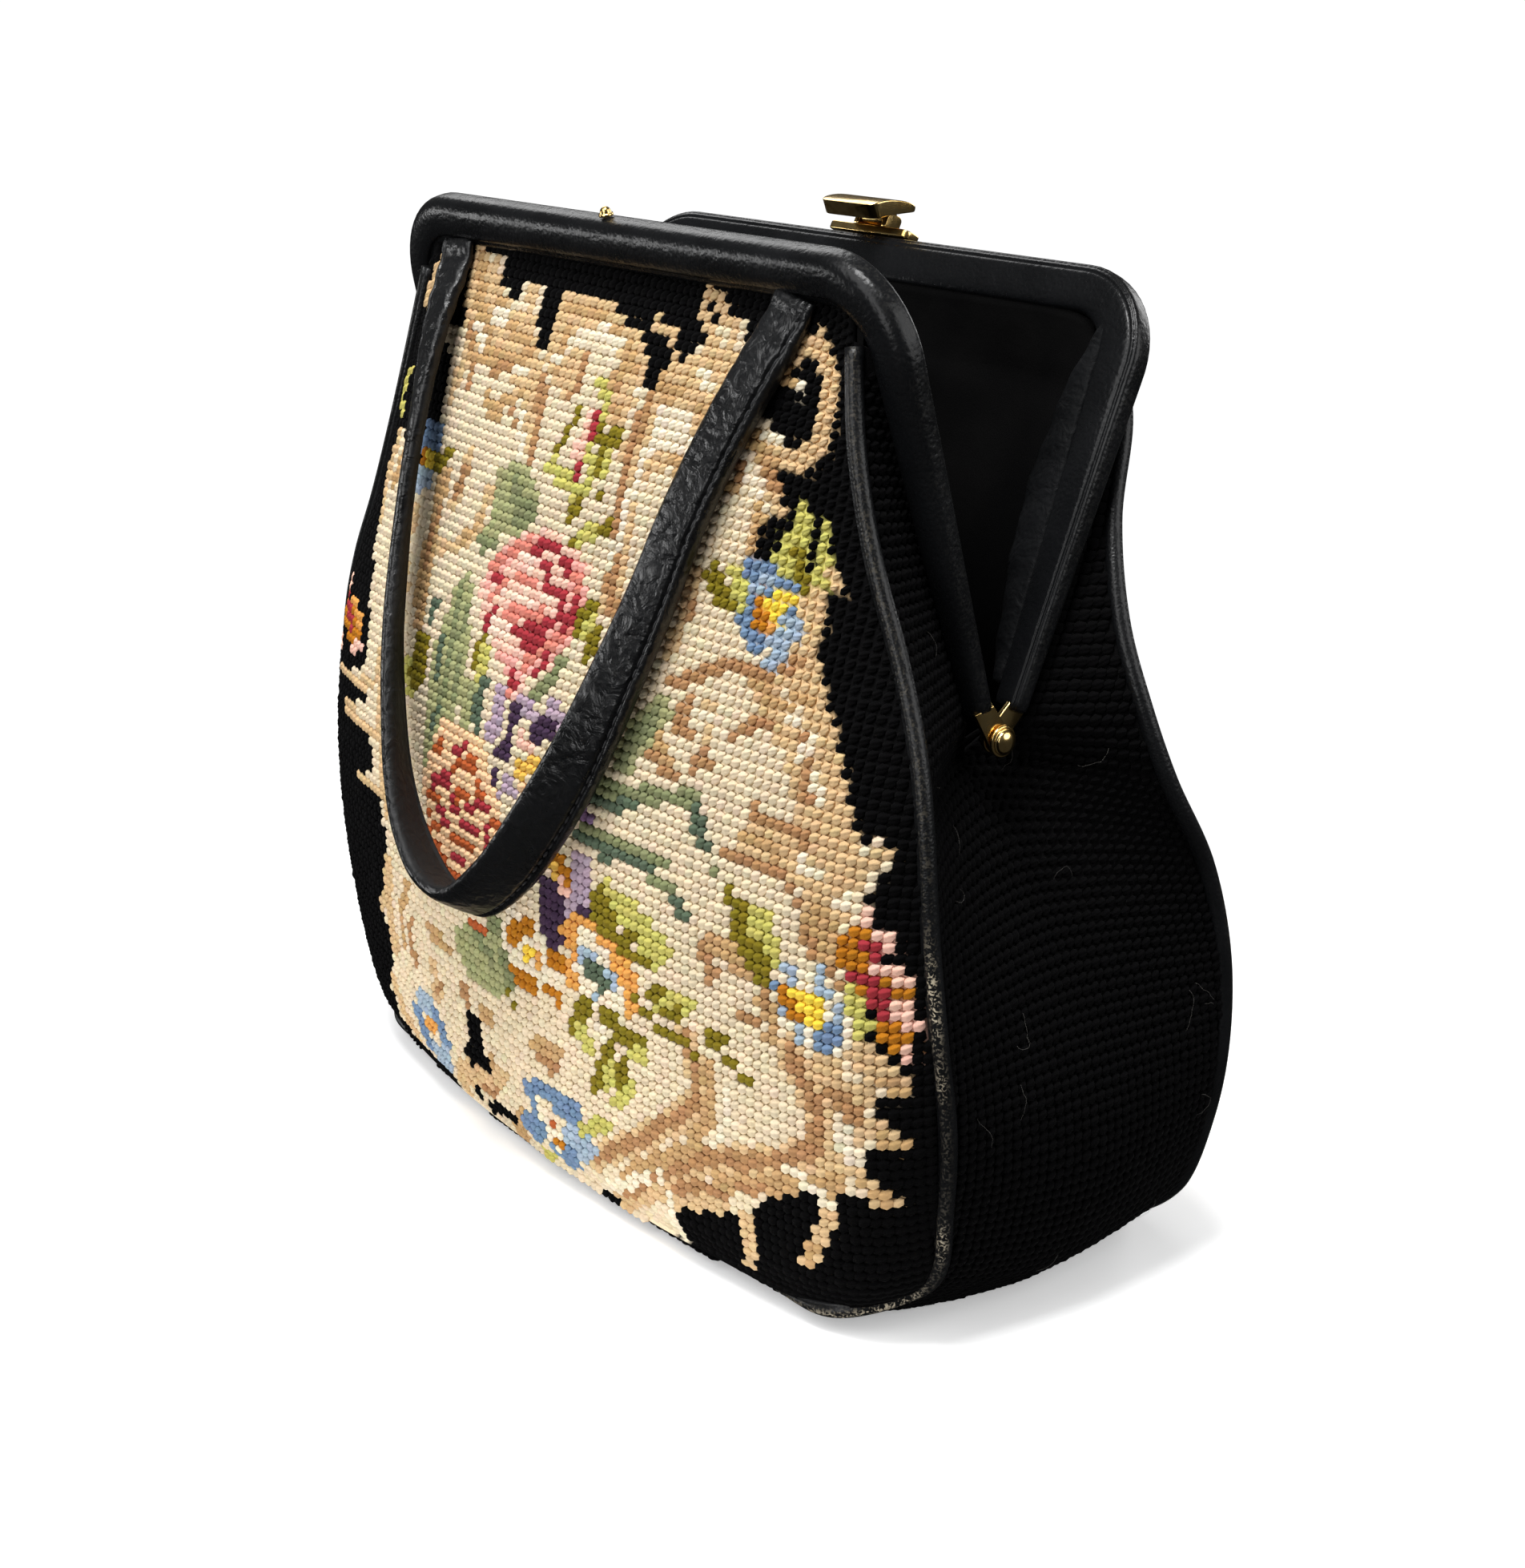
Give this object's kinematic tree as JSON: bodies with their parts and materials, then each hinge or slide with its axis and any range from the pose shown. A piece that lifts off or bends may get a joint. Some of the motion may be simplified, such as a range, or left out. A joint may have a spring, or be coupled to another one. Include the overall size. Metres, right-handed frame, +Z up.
{
  "type": "needlepoint frame handbag",
  "caption": "Needlepoint handbag with a black gusset, on a leather-covered hinged frame that stands open, with a leather strap and a gold lever clasp.",
  "frame": {"origin": "on the ground, below the middle of the outer box", "axes": "+X along the frame's bar and hinge line, -Y out of the front panel that carries the strap, +Z up"},
  "size_m": [0.2594, 0.1476, 0.244],
  "materials": {
    "needlepoint": "wool tent stitch",
    "black_wool": "wool tent stitch",
    "leather": "satin, fine grain",
    "lining": "soft matt cloth",
    "gold": "polished gold plate"
  },
  "bodies": {
    "bag": {"front_panel": "needlepoint", "back_panel": "needlepoint", "gusset": "black_wool", "front_piping": "leather", "back_piping": "leather", "front_frame": "leather", "back_frame": "leather", "handle_strap": "leather", "front_lining": "lining", "back_lining": "lining", "gusset_lining": "lining", "front_tab_right": "gold", "front_tab_left": "gold", "back_tab_right": "gold", "back_tab_left": "gold", "hinge_rivet_right": "gold", "hinge_rivet_left": "gold", "catch_stud": "gold", "clasp_base": "gold", "clasp_pin": "gold"},
    "lever": {"clasp_lever": "gold"}
  },
  "joints": [
    {"name": "clasp_lift", "type": "hinge", "parent": "bag", "child": "lever", "pos_m": [-0.005, 0.05564, 0.23521], "axis": [-1, 0, 0], "range_deg": [0, 40]}
  ]
}
